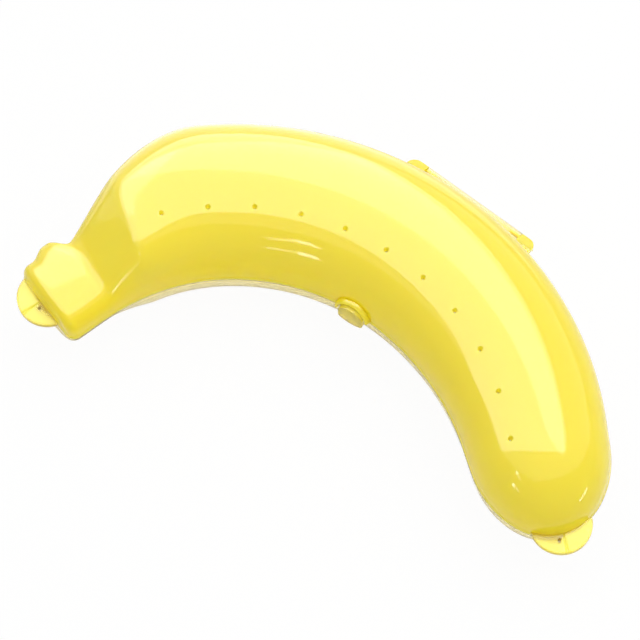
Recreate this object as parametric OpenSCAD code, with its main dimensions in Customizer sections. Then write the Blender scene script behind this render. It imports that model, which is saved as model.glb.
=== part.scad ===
// Banana carrying case: a hinged lid over a base, both swept along one bent middle line.
// Units are millimetres. Z is up and Z = 0 is the flat foot of the base. The hinge runs along X on the
// convex side of the bend, which faces +Y; the latch is on the concave side.

/* [Bend] */
// Radius of the bend, to the middle line of the body
bend_r = 87; // [75:0.5:105]
// Angle that the bend runs from the hinge towards the stem
stem_arc = 75.5; // [60:0.5:84]
// Angle that the bend runs from the hinge towards the tip
tip_arc = 40; // [30:0.5:50]
// Straight length of the stem after the bend
stem_run = 10; // [6:0.5:16]
// Straight length of the tip end after the bend
tip_run = 32.2; // [24:0.1:42]

/* [Body] */
// Width of the body at the hinge
body_w = 47; // [42:0.5:54]
// Height of the lid above the parting plane
lid_h = 22; // [19:0.5:27]
// Depth of the base from the parting plane to its foot
base_h = 21; // [18:0.5:26]
// Part of the round belly that is cut off to make the flat foot
foot_cut = 1.2; // [0.8:0.1:2]
// Wall thickness of both halves
wall = 1.6; // [1.2:0.1:2.2]
// Gap between the lid rim and the base rim
rim_gap = 0.3; // [0.2:0.05:0.6]
// Squareness of the body section, 2 is a plain ellipse
body_square = 2.2; // [2:0.05:3]

/* [Tip] */
// Share of the width that the body has lost at the tip
tip_taper = 0.26; // [0.1:0.01:0.35]
// Share of the height that the body has lost at the tip
tip_drop = 0.1; // [0.05:0.01:0.2]
// Length of the rounded cap at the tip
cap_l = 24; // [18:0.5:32]
// Fullness of the rounded cap, 2 is a plain ellipse
cap_full = 2.3; // [2:0.05:3]

/* [Stem] */
// Width of the stem
stem_w = 23; // [19:0.5:27]
// How far the stem sits towards the concave side of the middle line
stem_shift = 13; // [10:0.2:14]
// Height of the lid at the stem
stem_h = 10; // [8.5:0.5:14]
// Depth of the base at the stem
stem_depth = 9; // [7:0.5:13]
// Squareness of the lid's section at the stem
stem_square = 3.6; // [2.4:0.1:5]
// Squareness of the base's section at the stem
under_square = 2; // [1.8:0.1:3]
// Extra width of the stem's end face, on the convex side
end_flare = 2.8; // [0:0.1:3.4]
// Extra width of the block behind the end face, on the convex side
block_flare = 5; // [0:0.1:6]
// Distance from the end face to where the block widens
block_from = 4.5; // [3:0.1:6]
// Length over which the block widens
widen_l = 5; // [3:0.1:7]
// Distance from the end face to the neck behind the block
block_l = 17; // [14:0.1:20]
// Length over which the block narrows to the neck
neck_l = 6; // [4:0.1:8]
// Distance from the end face to where the shoulder widens, on the convex side
shoulder_from = 9.3; // [7:0.1:14]
// Length of the shoulder, on the convex side
shoulder_l = 49; // [40:0.5:58]
// Distance from the end face to where the lid and the base rise
rise_from = 15; // [11:0.1:18]
// Length over which they rise to the full body
rise_l = 21; // [18:0.5:30]
// Length of the rounding at the start and at the end of that rise
rise_round = 4.2; // [2:0.1:8]
// Length over which the concave side runs out to the stem
inside_l = 60; // [40:0.5:80]
// Rounding of the edges at the stem end
end_r = 3; // [2.4:0.1:4]

/* [Vents] */
// Number of vent holes along the lid
vent_count = 11; // [5:1:13]
// Diameter of a vent hole
vent_d = 1.6; // [1:0.1:2.4]
// Distance of the first vent from the stem end, along the middle line
vent_from_stem = 44; // [36:0.5:56]
// Distance of the last vent from the tip, along the middle line
vent_from_tip = 24.7; // [20:0.1:36]
// How far the row of vents sits towards the concave side
vent_shift = 9.5; // [4:0.5:12]

/* [Hinge] */
// Length of the barrel on the base
barrel_l = 33.6; // [26:0.2:40]
// Outer radius of the barrel and of the ears
barrel_r = 1.3; // [1.1:0.05:1.8]
// Radius of the stub pins on the ears
pin_r = 0.6; // [0.45:0.05:0.8]
// Radial clearance of a pin in the barrel
pin_play = 0.05; // [0.02:0.01:0.09]
// Length of a pin inside the barrel
pin_l = 3.3; // [2:0.1:5]
// Distance of the hinge axis below the parting plane
hinge_drop = 1.2; // [0.6:0.1:2]
// Width of an ear along the hinge
ear_w = 5.4; // [4:0.2:7]
// Thickness of the plate that joins an ear to the lid
ear_t = 1.5; // [1:0.1:2]
// Bevel at the outer end of an ear
ear_bevel = 0.6; // [0.3:0.1:1]
// Clearance around the barrel, to the lid and to the ears
hinge_gap = 0.3; // [0.25:0.05:0.5]

/* [Latch] */
// Angle of the latch from the hinge, towards the stem
latch_angle = 5.5; // [0:0.5:12]
// Width of the tongue
tongue_w = 8; // [6:0.2:10]
// Height of the tongue above the parting plane
tongue_up = 4.6; // [4.2:0.1:6]
// Depth of the tongue below the parting plane
tongue_down = 4.6; // [4:0.2:7]
// Roundness of the tongue's lower end, 1 is a half circle
tongue_round = 0.5; // [0.2:0.05:0.8]
// Thickness of the tongue
tongue_t = 1.2; // [0.9:0.1:1.6]
// Clearance between the tongue and the walls
tongue_gap = 0.5; // [0.45:0.05:0.8]
// Clearance between the sides of the tongue and the arch on the lid
arch_gap = 0.4; // [0.3:0.05:0.6]
// Width of the arch ridge
arch_w = 1.4; // [1:0.1:2]
// How far the arch stands out of the lid
arch_out = 1.3; // [0.8:0.1:1.8]

/* [Finger tabs] */
// Radius of the half-disc tabs
tab_r = 9; // [7:0.2:10]
// How far the centre of the stem tab lies inside the end of the case
stem_tab_in = 2.6; // [1.5:0.1:4]
// How far the stem tab sits towards the convex side of the stem
stem_tab_side = 2.3; // [0:0.1:3.5]
// How far the centre of the tip tab lies inside the end of the case
tip_tab_in = 3.3; // [2:0.1:4.5]
// How far the tip tab sits towards the convex side of the tip
tip_tab_side = 1; // [0:0.1:2]
// Thickness of a tab
tab_t = 1.6; // [1.2:0.1:2.2]
// Diameter of the pin hole at the root of a tab
tab_hole_d = 1.3; // [0.8:0.1:1.8]
// Distance of the pin hole outside the end of the case
tab_hole_out = 1.4; // [1.2:0.1:2.4]
// Distance of the pin hole from the crease
tab_hole_side = 1.5; // [1.2:0.1:3]
// Width of the crease across a tab
crease_w = 0.5; // [0.3:0.1:0.8]
// Depth of the crease
crease_d = 0.4; // [0.2:0.1:0.8]

/* [Rim lips] */
// Height of a lip above the parting plane
lip_up = 3.5; // [2.5:0.1:4]
// Depth of a lip below the parting plane
lip_down = 3; // [2:0.1:4]
// Thickness of a lip
lip_t = 1; // [0.8:0.1:1.4]
// Clearance of a lip from the inside of the wall
lip_gap = 0.55; // [0.5:0.05:0.8]
// Distance of the lips from the stem end, along the middle line
lip_from_stem = 60; // [58:0.5:70]
// Distance of the lips from the tip, along the middle line
lip_from_tip = 36.7; // [32:0.1:46]

/* [View] */
// Node to draw, or all of them

/* [Hidden] */
yellow = [0.96, 0.84, 0.22];
clear = [0.88, 0.92, 0.92, 0.5];
eps = 0.01;
// How far a root runs into the wall before it is trimmed, and how far its trimming solid runs past it.
root = 8;
past = 12;

// Lengths along the middle line: 0 at the hinge, negative towards the stem.
arc_stem = bend_r * stem_arc * PI / 180;
arc_tip = bend_r * tip_arc * PI / 180;
stem_end = -(arc_stem + stem_run);
tip_end = arc_tip + tip_run;
cap_from = tip_end - cap_l;

// Heights: parting plane, lid rim and base rim.
part_z = base_h + rim_gap / 2;
lid_z = part_z + rim_gap / 2;
base_z = part_z - rim_gap / 2;

// Each half: height of the body and of the stem, squareness of the stem, greatest height above the rim,
// way up, height of the rim.
LID = [lid_h, stem_h, stem_square, 2 * lid_h, 1, lid_z];
BASE = [base_h + foot_cut - rim_gap / 2, stem_depth, under_square, base_z, -1, base_z];

// Hinge axis: the barrel clears the wall of the lid at the hinge.
axis_y = body_w / 2 + hinge_gap + barrel_r;
axis_z = part_z - hinge_drop;
bore_r = pin_r + pin_play;
ear_x = barrel_l / 2 + hinge_gap;

// Latch place on the middle line, and the plane of the tongue measured from there.
latch_s = -bend_r * latch_angle * PI / 180;
tongue_y = body_w / 2 + tongue_gap;

// Sweep resolution: stations at the stem rounding, up to the full body, along it and on the cap, and
// points per section.
end_n = 4;
block_n = 18;
run_n = 32;
cap_n = 9;
side_n = 20;
body_i = end_n + block_n;
cap_i = body_i + run_n;
last = cap_i + cap_n;
body_from = stem_end + rise_from + rise_l;
cap_stop = 0.9985;

vent_pitch = (tip_end - stem_end - vent_from_stem - vent_from_tip) / (vent_count - 1);

// Smooth step from 0 to 1, and a straight ramp from 0 to 1 with its ends rounded over the share b.
function ease(t) = let (c = min(max(t, 0), 1)) c * c * (3 - 2 * c);
function bow(t, b) = t * t / (2 * b * (1 - b));
function ramp(t, b) = let (c = min(max(t, 0), 1))
    c < b ? bow(c, b) : c > 1 - b ? 1 - bow(1 - c, b) : (c - b / 2) / (1 - b);

// Middle line: turn angle, point and outward direction (towards the convex side).
function turn(s) = min(max(s, -arc_stem), arc_tip) / bend_r * 180 / PI;
function mid(s) = let (c = min(max(s, -arc_stem), arc_tip), a = turn(s))
    [bend_r * sin(a) + (s - c) * cos(a), bend_r * (cos(a) - 1) - (s - c) * sin(a)];
function outward(s) = [sin(turn(s)), cos(turn(s))];
function at(s, y, z) = let (p = mid(s), o = outward(s)) [p[0] + y * o[0], p[1] + y * o[1], z];

// Section sizes along the middle line; d is the distance inside the outer surface.
function shoulder(s) = ease((s - stem_end - shoulder_from) / shoulder_l);
function rise(s) = ramp((s - stem_end - rise_from) / rise_l, rise_round / rise_l);
function widen(s) = ease((s - stem_end - block_from) / widen_l);
function narrow(s) = ease((stem_end + block_l - s) / neck_l);
function flare(s) = (end_flare + (block_flare - end_flare) * widen(s)) * narrow(s);
function taper(s, share) = 1 - share * pow(max(s, 0) / tip_end, 2);
function cap(s, d) = let (t = max((s - cap_from) / (cap_l - d), 0)) sqrt(max(1 - pow(t, cap_full), 0));
function edge(s, d) = let (r = end_r - d, x = min((s - stem_end - d) / r, 1))
    r * (1 - sqrt(max(1 - pow(1 - x, 2), 0)));
function convex_w(s, d) = let (w = stem_w / 2 - stem_shift)
    (w + (body_w / 2 - w) * shoulder(s) + flare(s)) * taper(s, tip_taper) - d;
function concave_w(s, d) = let (w = stem_w / 2 + stem_shift)
    (w + (body_w / 2 - w) * ease((s - stem_end) / inside_l)) * taper(s, tip_taper) - d;
function half_w(s, d) = ((convex_w(s, d) + concave_w(s, d)) / 2 - edge(s, d)) * cap(s, d);
function centre(s) = (convex_w(s, 0) - concave_w(s, 0)) / 2;
function half_h(s, d, half) =
    ((half[1] + (half[0] - half[1]) * rise(s)) * taper(s, tip_drop) - d - edge(s, d)) * cap(s, d);
function squareness(s, half) = half[2] + (body_square - half[2]) * shoulder(s);

// Place of station i on the surface at inside distance d.
function station(i, d) =
    i <= end_n ? stem_end + d + (end_r - d) * (1 - cos(i * 90 / end_n)) :
    i <= body_i ? stem_end + end_r + (body_from - stem_end - end_r) * (i - end_n) / block_n :
    i <= cap_i ? body_from + (cap_from - body_from) * (i - body_i) / run_n :
    cap_from + (cap_l - d) * cap_stop * sin((i - cap_i) * 90 / cap_n);

// One section point: j runs from the convex rim over the crown to the concave rim.
function power(v, e) = v <= 0 ? 0 : pow(v, e);
function ring_point(i, j, d, half) = let (s = station(i, d), e = 2 / squareness(s, half),
    a = 180 * j / side_n, c = cos(a), y = centre(s) + half_w(s, d) * sign(c) * power(abs(c), e),
    r = min(half_h(s, d, half) * power(sin(a), e), half[3] - d)) at(s, y, half[5] + half[4] * r);
function skin(a, b, d, half) = [for (i = [a : b]) for (j = [0 : side_n]) ring_point(i, j, d, half)];
function index(s) = body_i + run_n * (s - body_from) / (cap_from - body_from);

// Triangles of a swept skin of n steps, of the flat rim between two skins and of the end faces.
row = side_n + 1;
function quad(a, b, c, d) = [[a, b, c], [a, c, d]];
function skin_faces(o, n) = [for (i = [0 : n - 1]) for (j = [0 : side_n - 1])
    let (a = o + i * row + j) for (f = quad(a, a + 1, a + row + 1, a + row)) f];
function end_faces(o, i) = [for (j = [1 : side_n - 1]) [o + i * row, o + i * row + j + 1, o + i * row + j]];
function floor_faces(o, n) = [for (i = [0 : n - 1])
    for (f = quad(o + i * row, o + (i + 1) * row, o + (i + 1) * row + side_n, o + i * row + side_n)) f];
function rim_faces(o, n) = concat(
    [for (i = [0 : last - 1]) for (f = quad(o + i * row, o + (i + 1) * row,
        n + (i + 1) * row, n + i * row)) f],
    [for (i = [0 : last - 1]) for (f = quad(n + i * row + side_n, n + (i + 1) * row + side_n,
        o + (i + 1) * row + side_n, o + i * row + side_n)) f],
    quad(o + side_n, o, n, n + side_n),
    quad(o + last * row, o + last * row + side_n, n + last * row + side_n, n + last * row));
function turned(faces) = [for (f = faces) [f[2], f[1], f[0]]];
function facing(faces, up) = up > 0 ? turned(faces) : faces;

// Half of the case as a shell with an even wall.
module half_shell(half) {
    count = (last + 1) * row;
    points = concat(skin(0, last, 0, half), skin(0, last, wall, half));
    faces = concat(skin_faces(0, last), end_faces(0, 0), turned(end_faces(0, last)),
        turned(concat(skin_faces(count, last), end_faces(count, 0), turned(end_faces(count, last)))),
        rim_faces(0, count));
    polyhedron(points, facing(faces, half[4]), convexity = 8);
}

// The same half filled in and grown by g, between stations a and b.
module half_solid(a, b, half, g) {
    n = b - a;
    faces = concat(skin_faces(0, n), end_faces(0, 0), turned(end_faces(0, n)), floor_faces(0, n));
    polyhedron(skin(a, b, -g, half), facing(faces, half[4]), convexity = 8);
}

// Axes at a place on the middle line: X along the bend, Y towards the convex side.
module place(s) {
    p = mid(s);
    translate([p[0], p[1], 0]) rotate([0, 0, -turn(s)]) children();
}

// Bar along X with its middle at the hinge axis.
module hinge_bar(from, to, r) {
    translate([from, axis_y, axis_z]) rotate([0, 90, 0]) cylinder(h = to - from, r = r, $fn = 48);
}

module lid_shell() {
    color(yellow) difference() {
        half_shell(LID);
        for (k = [0 : vent_count - 1])
            translate(at(stem_end + vent_from_stem + k * vent_pitch, -vent_shift, lid_z + 2 * wall))
                cylinder(h = lid_h, d = vent_d, $fn = 24);
    }
}

// Half-disc tab with its root at the end of the case; side is its shift towards the convex side.
module finger_tab(s, inside, side, a, b) {
    color(yellow) difference() {
        place(s) translate([inside, side, lid_z + rim_gap]) difference() {
            cylinder(h = tab_t, r = tab_r, $fn = 72);
            translate([-inside - sign(inside) * tab_hole_out, -tab_hole_side, -eps])
                cylinder(h = tab_t + 2 * eps, d = tab_hole_d, $fn = 24);
            translate([-(sign(inside) * tab_r + inside) / 2, 0, tab_t])
                cube([tab_r, crease_w, 2 * crease_d], center = true);
        }
        half_solid(a, b, LID, 0);
    }
}

module finger_tab_stem() {
    side = centre(stem_end + end_r) + stem_tab_side;
    finger_tab(stem_end, stem_tab_in, side, 0, body_i);
}

module finger_tab_tip() {
    finger_tab(tip_end, -tip_tab_in, tip_tab_side, cap_i - 1, last);
}

// Ear with its stub pin; side is -1 towards the stem and 1 towards the tip.
module hinge_ear(side) {
    color(yellow) difference() {
        mirror([side < 0 ? 1 : 0, 0, 0]) {
            hinge_bar(ear_x - hinge_gap - pin_l, ear_x + eps, pin_r);
            hull() {
                hinge_bar(ear_x, ear_x + ear_w - ear_bevel, barrel_r);
                hinge_bar(ear_x, ear_x + ear_w, barrel_r - ear_bevel);
                translate([ear_x, axis_y - barrel_r, lid_z + rim_gap])
                    cube([ear_w - ear_bevel, barrel_r, ear_t]);
            }
            translate([ear_x, body_w / 2 - root, lid_z + rim_gap])
                cube([ear_w - ear_bevel, axis_y - body_w / 2 + root, ear_t]);
        }
        half_solid(floor(index(-ear_x - past)), ceil(index(ear_x + past)), LID, 0);
    }
}

module hinge_ear_stem() {
    hinge_ear(-1);
}

module hinge_ear_tip() {
    hinge_ear(1);
}

// Outline of the tongue, seen from the concave side, grown by g and cut off at depth down.
module tongue_outline(g, down) {
    r = tongue_w / 2 + g;
    foot = tongue_down - tongue_round * tongue_w / 2;
    intersection() {
        hull() {
            translate([0, tongue_up - tongue_w / 2]) circle(r = r, $fn = 64);
            translate([0, -foot]) scale([1, tongue_round]) circle(r = r, $fn = 64);
        }
        translate([-r, -down]) square([2 * r, down + tongue_up + g]);
    }
}

// Plate with the given outline in the plane of the latch, from depth a to depth b off the middle line.
module latch_plate(a, b) {
    place(latch_s) translate([0, -a, part_z]) rotate([90, 0, 0]) linear_extrude(height = b - a) children();
}

module latch_arch() {
    color(yellow) difference() {
        latch_plate(body_w / 2 - root, body_w / 2 + arch_out) difference() {
            tongue_outline(arch_gap + arch_w, -1.5 * rim_gap);
            tongue_outline(arch_gap, tongue_down);
        }
        half_solid(floor(index(latch_s - past)), ceil(index(latch_s + past)), LID, 0);
    }
}

module latch_tongue() {
    color(clear) difference() {
        union() {
            latch_plate(tongue_y, tongue_y + tongue_t) tongue_outline(0, tongue_down);
            latch_plate(body_w / 2 - root, tongue_y + eps) difference() {
                tongue_outline(0, tongue_down);
                tongue_outline(eps, tongue_down / 2);
            }
        }
        half_solid(floor(index(latch_s - past)), ceil(index(latch_s + past)), BASE, hinge_gap);
    }
}

module base_shell() {
    color(clear) half_shell(BASE);
}

module hinge_barrel() {
    color(clear) difference() {
        union() {
            hinge_bar(-barrel_l / 2, barrel_l / 2, barrel_r);
            translate([-barrel_l / 2, body_w / 2 - root, axis_z - barrel_r])
                cube([barrel_l, axis_y - body_w / 2 + root, barrel_r]);
        }
        hinge_bar(-barrel_l, barrel_l, bore_r);
        half_solid(floor(index(-ear_x - past)), ceil(index(ear_x + past)), BASE, 0);
    }
}

// Upright lip that follows one wall on the inside; side is 1 on the convex side, -1 on the concave side.
module rim_lip(side) {
    n = 32;
    from = stem_end + lip_from_stem;
    step = (tip_end - lip_from_tip - from) / n;
    inset = wall + lip_gap;
    function line(k, d) = let (s = from + k * step) side > 0 ? convex_w(s, d) : -concave_w(s, d);
    points = [for (k = [0 : n]) for (q = [[inset, -lip_down], [inset + lip_t, -lip_down],
        [inset + lip_t, lip_up], [inset, lip_up]]) at(from + k * step, line(k, q[0]), part_z + q[1])];
    sides = [for (k = [0 : n - 1]) for (j = [0 : 3])
        for (f = quad(4 * k + j, 4 * k + (j + 1) % 4, 4 * k + 4 + (j + 1) % 4, 4 * k + 4 + j)) f];
    faces = concat(sides, quad(3, 2, 1, 0), quad(4 * n, 4 * n + 1, 4 * n + 2, 4 * n + 3));
    color(clear) polyhedron(points, side > 0 ? faces : turned(faces), convexity = 6);
}

module rim_lip_hinge_side() {
    rim_lip(1);
}

module rim_lip_latch_side() {
    rim_lip(-1);
}

lid_shell();
finger_tab_stem();
finger_tab_tip();
hinge_ear_stem();
hinge_ear_tip();
latch_arch();
base_shell();
hinge_barrel();
rim_lip_hinge_side();
rim_lip_latch_side();
latch_tongue();
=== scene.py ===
"""Looks of a banana carrying case: a translucent yellow lid hinged to a clear base."""

import logging
import math
from collections.abc import Sequence
from dataclasses import dataclass, field
from enum import Enum

import bpy
import numpy as np
from mathutils import Matrix, Vector


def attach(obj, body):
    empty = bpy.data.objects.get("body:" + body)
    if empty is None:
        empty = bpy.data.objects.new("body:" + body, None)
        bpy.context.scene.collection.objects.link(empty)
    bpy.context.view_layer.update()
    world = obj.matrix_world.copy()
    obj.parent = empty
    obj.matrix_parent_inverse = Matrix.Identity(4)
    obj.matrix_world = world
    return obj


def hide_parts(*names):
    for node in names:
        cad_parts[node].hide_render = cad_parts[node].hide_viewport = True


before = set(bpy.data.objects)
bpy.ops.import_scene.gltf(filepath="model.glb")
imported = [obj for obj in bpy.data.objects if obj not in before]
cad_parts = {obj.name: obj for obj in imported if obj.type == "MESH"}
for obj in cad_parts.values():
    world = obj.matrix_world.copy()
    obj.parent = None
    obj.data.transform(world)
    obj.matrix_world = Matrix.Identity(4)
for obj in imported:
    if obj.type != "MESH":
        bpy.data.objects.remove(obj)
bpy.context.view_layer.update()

Tree = bpy.types.NodeTree
Socket = bpy.types.NodeSocket

LOG = logging.getLogger("banana_case")
MM = 0.001
# Layers of values painted on the pieces, which share out their colours: the first holds painted light
# and shade, the second painted shade.
LIGHT_AND_SHADE_LAYER = "painted_light_and_shade"
SHADE_LAYER = "painted_shade"
# Directions in the part's frame.
ALONG_HINGE = np.array((1.0, 0.0, 0.0))
UP = np.array((0.0, 0.0, 1.0))
# Least angle in degrees that counts as an edge, on swept pieces and on pieces joined from solids.
SWEPT_ANGLE = 40.0
JOINED_ANGLE = 50.0


class Body(Enum):
    """CAD bodies that the pieces ride on."""

    BASE = "base"
    LID = "lid"
    LATCH = "latch"


class Slot(Enum):
    """Material slots of the record."""

    YELLOW = "yellow_lid"
    CLEAR = "clear_base"


class Half(Enum):
    """The two mouldings, with the way each rises from its rim."""

    LID = 1
    BASE = -1


class End(Enum):
    """The two ends of the case, with the way each faces along the middle line."""

    STEM = -1
    TIP = 1


class Side(Enum):
    """The two sides of the middle line."""

    CONVEX = 1
    CONCAVE = -1


class Solid(Enum):
    """How a tool solid is combined with a piece."""

    CUT = "DIFFERENCE"
    ADD = "UNION"


class Role(Enum):
    """What a lamp is for: to light surfaces, or to be mirrored in their gloss."""

    LIGHT = "light"
    MIRROR = "mirror"


def linear(red: float, green: float, blue: float) -> tuple[float, float, float, float]:
    """Turns a screen colour into a shader colour.

    Args:
        red: Red from 0 to 255.
        green: Green from 0 to 255.
        blue: Blue from 0 to 255.

    Returns:
        The linear colour with full alpha.
    """
    most, low, knee, lift, power = 255, 12.92, 0.04045, 0.055, 2.4
    parts = [c / most for c in (red, green, blue)]
    return (*(c / low if c <= knee else ((c + lift) / (1 + lift)) ** power for c in parts), 1.0)


def ease(t: np.ndarray | float) -> np.ndarray:
    """Smooth step of t from 0 to 1."""
    c = np.clip(t, 0, 1)
    return c * c * (3 - 2 * c)


def ramp(t: np.ndarray, b: float) -> np.ndarray:
    """Straight ramp from 0 to 1 with rounded ends.

    Args:
        t: Places along the ramp, from 0 to 1.
        b: Share of the ramp that each rounding takes.

    Returns:
        Heights from 0 to 1.
    """
    c = np.clip(t, 0, 1)
    low, high = (q * q / (2 * b * (1 - b)) for q in (c, 1 - c))
    return np.where(c < b, low, np.where(c > 1 - b, 1 - high, (c - b / 2) / (1 - b)))


def feed(tree: Tree, to: bpy.types.Node, inputs: dict[str | int, object]) -> None:
    """Fills the inputs of a shader node.

    Args:
        tree: The tree that the node is in.
        to: The node.
        inputs: A value for each input, or the output of another node to link to it.
    """
    for name, value in inputs.items():
        if isinstance(value, Socket):
            tree.links.new(value, to.inputs[name])
        else:
            to.inputs[name].default_value = value


def add_node(tree: Tree, kind: str, inputs: dict[str | int, object],
             **settings: object) -> bpy.types.Node:
    """Adds a shader node to a tree.

    Args:
        tree: The tree.
        kind: Type of the node.
        inputs: What its inputs are filled with.
        settings: Its other settings, which are made first.

    Returns:
        The node.
    """
    made = tree.nodes.new(kind)
    for name, value in settings.items():
        setattr(made, name, value)
    feed(tree, made, inputs)
    return made


def maths(tree: Tree, how: str, first: object, second: object,
          clamp: bool = False) -> Socket:
    """Works out two values, each given as a number or a socket, and returns the result's socket."""
    made = add_node(tree, "ShaderNodeMath", {0: first, 1: second}, operation=how, use_clamp=clamp)
    return made.outputs["Value"]


@dataclass(frozen=True)
class BananaForm:
    """The bent, tapered form that both halves are swept along, in millimetres.

    Lengths along the middle line are 0 at the hinge and negative towards the stem; sideways
    distances are positive towards the convex side.
    """

    bend_r: float = 87.0
    stem_arc: float = 75.5
    tip_arc: float = 40.0
    stem_run: float = 10.0
    tip_run: float = 32.2
    body_w: float = 47.0
    lid_h: float = 22.0
    base_h: float = 21.0
    foot_cut: float = 1.2
    wall: float = 1.6
    rim_gap: float = 0.3
    body_square: float = 2.2
    tip_taper: float = 0.26
    tip_drop: float = 0.1
    cap_l: float = 24.0
    cap_full: float = 2.3
    cap_stop: float = 0.9985
    stem_w: float = 23.0
    stem_shift: float = 13.0
    stem_h: float = 10.0
    stem_depth: float = 9.0
    stem_square: float = 3.6
    under_square: float = 2.0
    end_flare: float = 2.8
    block_flare: float = 5.0
    block_from: float = 4.5
    widen_l: float = 5.0
    block_l: float = 17.0
    neck_l: float = 6.0
    shoulder_from: float = 9.3
    shoulder_l: float = 49.0
    rise_from: float = 15.0
    rise_l: float = 21.0
    rise_round: float = 4.2
    inside_l: float = 60.0
    end_r: float = 3.0

    @property
    def arc_stem(self) -> float:
        """Length of the bend towards the stem."""
        return self.bend_r * math.radians(self.stem_arc)

    @property
    def arc_tip(self) -> float:
        """Length of the bend towards the tip."""
        return self.bend_r * math.radians(self.tip_arc)

    @property
    def stem_end(self) -> float:
        """Place of the stem end on the middle line."""
        return -(self.arc_stem + self.stem_run)

    @property
    def tip_end(self) -> float:
        """Place of the tip on the middle line."""
        return self.arc_tip + self.tip_run

    @property
    def cap_from(self) -> float:
        """Place where the rounded cap of the tip starts."""
        return self.tip_end - self.cap_l

    @property
    def body_from(self) -> float:
        """Place where the body has its full height."""
        return self.stem_end + self.rise_from + self.rise_l

    @property
    def part_z(self) -> float:
        """Height of the parting plane."""
        return self.base_h + self.rim_gap / 2

    @property
    def plate_z(self) -> float:
        """Height of the underside of the plates that stand out from the lid."""
        return self.rim_z(Half.LID) + self.rim_gap

    def rim_z(self, half: Half) -> float:
        """Height of the rim of one half."""
        return self.part_z + half.value * self.rim_gap / 2

    def belly(self, half: Half) -> float:
        """Height of one half from its rim to its crown, before the foot is cut off."""
        return self.lid_h if half is Half.LID else self.base_h + self.foot_cut - self.rim_gap / 2

    def turn(self, s: np.ndarray) -> np.ndarray:
        """Turn of the middle line at s, in radians."""
        return np.clip(s, -self.arc_stem, self.arc_tip) / self.bend_r

    def at(self, s: np.ndarray, y: np.ndarray, z: np.ndarray) -> np.ndarray:
        """Points at places along the middle line.

        Args:
            s: Lengths along the middle line.
            y: Sideways distances.
            z: Heights.

        Returns:
            The points, with a last axis of three.
        """
        a = self.turn(s)
        rest = s - np.clip(s, -self.arc_stem, self.arc_tip)
        px = self.bend_r * np.sin(a) + rest * np.cos(a) + y * np.sin(a)
        py = self.bend_r * (np.cos(a) - 1) - rest * np.sin(a) + y * np.cos(a)
        return np.stack(np.broadcast_arrays(px, py, z), axis=-1)

    def along(self, points: np.ndarray) -> tuple[np.ndarray, np.ndarray]:
        """Finds where points lie along and beside the middle line.

        Args:
            points: Points with a last axis of at least two.

        Returns:
            Lengths along the middle line and sideways distances.
        """
        x, y = points[..., 0], points[..., 1] + self.bend_r
        angle = np.arctan2(x, y)
        s, side = self.bend_r * angle, np.hypot(x, y) - self.bend_r
        for end, arc in ((-1, self.arc_stem), (1, self.arc_tip)):
            a = end * arc / self.bend_r
            run = x * math.cos(a) - y * math.sin(a)
            past = (angle * end > arc / self.bend_r) & (run * end > 0)
            s = np.where(past, end * arc + run, s)
            side = np.where(past, x * math.sin(a) + y * math.cos(a) - self.bend_r, side)
        return s, side

    def shoulder(self, s: np.ndarray) -> np.ndarray:
        """Share of the full width at s, 0 at the stem block."""
        return ease((s - self.stem_end - self.shoulder_from) / self.shoulder_l)

    def rise(self, s: np.ndarray) -> np.ndarray:
        """Share of the full height at s, 0 at the stem block."""
        return ramp((s - self.stem_end - self.rise_from) / self.rise_l, self.rise_round / self.rise_l)

    def flare(self, s: np.ndarray) -> np.ndarray:
        """Extra width of the stem block on the convex side.

        Args:
            s: Lengths along the middle line.

        Returns:
            The widths.
        """
        wide = ease((s - self.stem_end - self.block_from) / self.widen_l)
        narrow = ease((self.stem_end + self.block_l - s) / self.neck_l)
        return (self.end_flare + (self.block_flare - self.end_flare) * wide) * narrow

    def taper(self, s: np.ndarray, share: float) -> np.ndarray:
        """Factor that narrows the body towards the tip by a share."""
        return 1 - share * (np.maximum(s, 0) / self.tip_end) ** 2

    def cap(self, s: np.ndarray, d: float) -> np.ndarray:
        """Factor that rounds the tip off, on the surface at inside distance d."""
        t = np.maximum((s - self.cap_from) / (self.cap_l - d), 0)
        return np.sqrt(np.maximum(1 - t**self.cap_full, 0))

    def edge(self, s: np.ndarray, d: float) -> np.ndarray:
        """Distance that the rounding of the stem end takes off.

        Args:
            s: Lengths along the middle line.
            d: Distance inside the outer surface.

        Returns:
            The distances.
        """
        r = self.end_r - d
        x = np.minimum((s - self.stem_end - d) / r, 1)
        return r * (1 - np.sqrt(np.maximum(1 - (1 - x) ** 2, 0)))

    def reach(self, s: np.ndarray, d: float, side: Side) -> np.ndarray:
        """Sideways distance of one wall from the middle line.

        Args:
            s: Lengths along the middle line.
            d: Distance inside the outer surface.
            side: The wall.

        Returns:
            The distances.
        """
        stem = self.stem_w / 2 - side.value * self.stem_shift
        if side is Side.CONVEX:
            wide = stem + (self.body_w / 2 - stem) * self.shoulder(s) + self.flare(s)
        else:
            wide = stem + (self.body_w / 2 - stem) * ease((s - self.stem_end) / self.inside_l)
        return wide * self.taper(s, self.tip_taper) - d

    def half_w(self, s: np.ndarray, d: float) -> np.ndarray:
        """Half width of the section at inside distance d."""
        both = self.reach(s, d, Side.CONVEX) + self.reach(s, d, Side.CONCAVE)
        return (both / 2 - self.edge(s, d)) * self.cap(s, d)

    def centre(self, s: np.ndarray) -> np.ndarray:
        """Sideways place of the middle of the section."""
        return (self.reach(s, 0, Side.CONVEX) - self.reach(s, 0, Side.CONCAVE)) / 2

    def half_h(self, s: np.ndarray, d: float, half: Half) -> np.ndarray:
        """Height of the section of one half above its rim.

        Args:
            s: Lengths along the middle line.
            d: Distance inside the outer surface.
            half: The half.

        Returns:
            The heights.
        """
        low = self.stem_h if half is Half.LID else self.stem_depth
        tall = (low + (self.belly(half) - low) * self.rise(s)) * self.taper(s, self.tip_drop)
        return (tall - d - self.edge(s, d)) * self.cap(s, d)

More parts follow.
